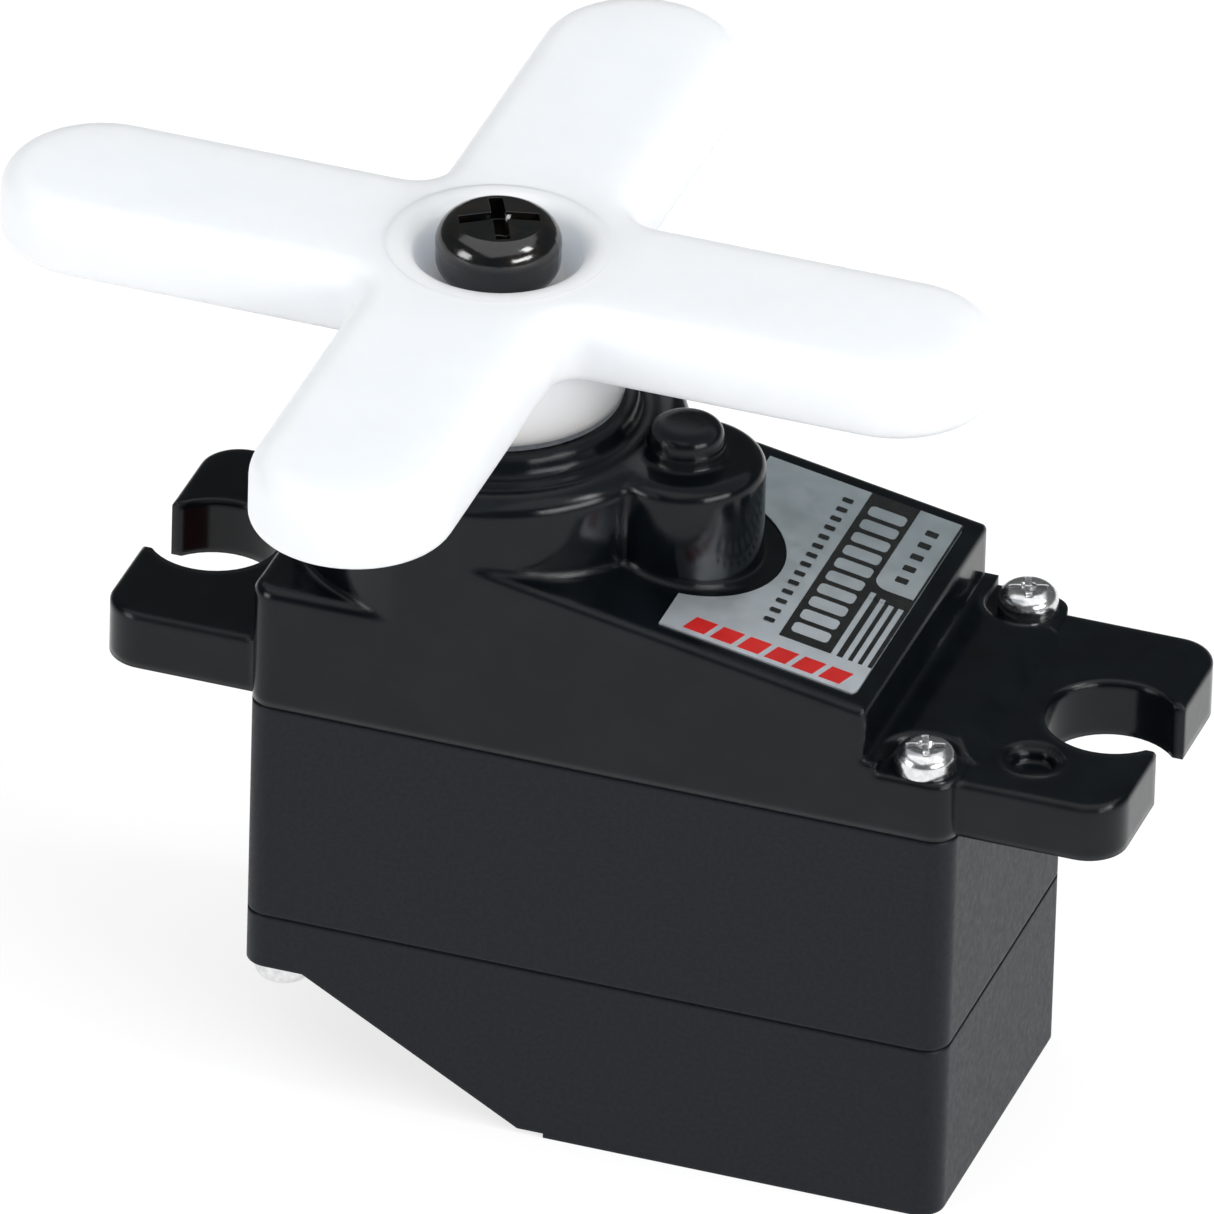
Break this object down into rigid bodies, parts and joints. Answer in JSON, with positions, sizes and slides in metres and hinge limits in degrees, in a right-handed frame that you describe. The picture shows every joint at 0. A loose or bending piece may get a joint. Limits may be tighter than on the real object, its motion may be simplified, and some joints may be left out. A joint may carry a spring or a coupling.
{
  "type": "servo motor",
  "caption": "Micro servo with a stepped black case, slotted mounting tabs, a metal gear train, a ball-raced output and a white cross-shaped horn held by a black screw.",
  "frame": {"origin": "midway between the two tab slots, on the underside of the tabs", "axes": "+X from the output end to the motor end, +Z along the output axis towards the horn, +Y across the case"},
  "size_m": [0.0383, 0.033, 0.0292],
  "materials": {
    "cover_plastic": "black, glossy moulded",
    "case_plastic": "charcoal black, fine satin texture",
    "horn_nylon": "white translucent nylon",
    "black_screw": "black oxide steel",
    "bright_screw": "bright nickel-plated steel",
    "label_foil": "printed satin foil",
    "label_red": "printed red film",
    "bearing_steel": "polished steel",
    "steel": "turned steel",
    "brass": "cut brass",
    "can_steel": "plated drawn steel",
    "motor_plastic": "moulded ivory nylon",
    "magnet": "sintered magnet",
    "copper": "enamelled copper wire",
    "pot_plastic": "blue moulded",
    "pot_rotor_plastic": "white acetal",
    "carbon": "carbon film",
    "board": "green laminate",
    "chip_plastic": "black moulding compound",
    "ceramic": "ceramic",
    "lead_sleeve": "red insulation"
  },
  "bodies": {
    "case": {"top_cover": "cover_plastic", "middle_case": "case_plastic", "bottom_cover": "case_plastic", "top_screws": "bright_screw", "base_screws": "bright_screw", "deck_label": "label_foil", "end_label": "label_red", "bearing_outer_race": "bearing_steel", "lower_bush": "brass", "idle_axle": "steel", "idle_spacer": "brass", "motor_can": "can_steel", "motor_front_bush": "brass", "motor_rear_bush": "brass", "motor_magnets": "magnet", "motor_end_cap": "motor_plastic", "motor_brushes": "copper", "motor_terminals": "brass", "motor_leads": "lead_sleeve", "pot_case": "pot_plastic", "pot_cover": "can_steel", "pot_track": "carbon", "pot_pins": "steel", "circuit_board": "board", "control_chip": "chip_plastic", "driver_chips": "chip_plastic", "small_components": "ceramic"},
    "output": {"horn": "horn_nylon", "horn_screw": "black_screw", "output_shaft": "steel", "output_gear": "brass", "bearing_inner_race": "bearing_steel", "pot_rotor": "pot_rotor_plastic", "pot_wiper": "brass"},
    "ball_set": {"bearing_balls": "bearing_steel", "bearing_cage": "brass"},
    "third_gear": {"third_wheel": "brass", "third_pinion": "steel"},
    "second_gear": {"second_wheel": "brass", "second_pinion": "steel"},
    "first_gear": {"first_wheel": "brass", "first_pinion": "steel"},
    "rotor": {"motor_pinion": "brass", "motor_shaft": "steel", "rotor_core": "steel", "rotor_windings": "copper", "commutator": "copper"}
  },
  "joints": [
    {"name": "output_spin", "type": "hinge", "parent": "case", "child": "output", "pos_m": [-0.00565, 0, 0], "axis": [0, 0, 1], "range_deg": [-90, 90]},
    {"name": "ball_set_spin", "type": "hinge", "parent": "case", "child": "ball_set", "pos_m": [-0.00565, 0, 0], "axis": [0, 0, 1], "range_deg": [-39.96, 39.96]},
    {"name": "third_gear_spin", "type": "hinge", "parent": "case", "child": "third_gear", "pos_m": [0.00082, -0.0006, 0], "axis": [0, 0, 1], "range_deg": [-270.5, 270.5]},
    {"name": "second_gear_spin", "type": "hinge", "parent": "case", "child": "second_gear", "pos_m": [-0.00565, 0, 0], "axis": [0, 0, 1], "range_deg": [-432.5, 432.5]},
    {"name": "first_gear_spin", "type": "hinge", "parent": "case", "child": "first_gear", "pos_m": [0.00082, -0.0006, 0], "axis": [0, 0, 1], "range_deg": [-1296.5, 1296.5]},
    {"name": "motor_spin", "type": "hinge", "parent": "case", "child": "rotor", "pos_m": [0.00558, 0, 0], "axis": [0, 0, 1], "range_deg": [-5616.5, 5616.5]}
  ],
  "couplings": [
    {"joint": "ball_set_spin", "follows": "output_spin", "ratio": 0.43846},
    {"joint": "third_gear_spin", "follows": "output_spin", "ratio": -3},
    {"joint": "second_gear_spin", "follows": "output_spin", "ratio": 4.8},
    {"joint": "first_gear_spin", "follows": "output_spin", "ratio": -14.4},
    {"joint": "motor_spin", "follows": "output_spin", "ratio": 62.4}
  ]
}
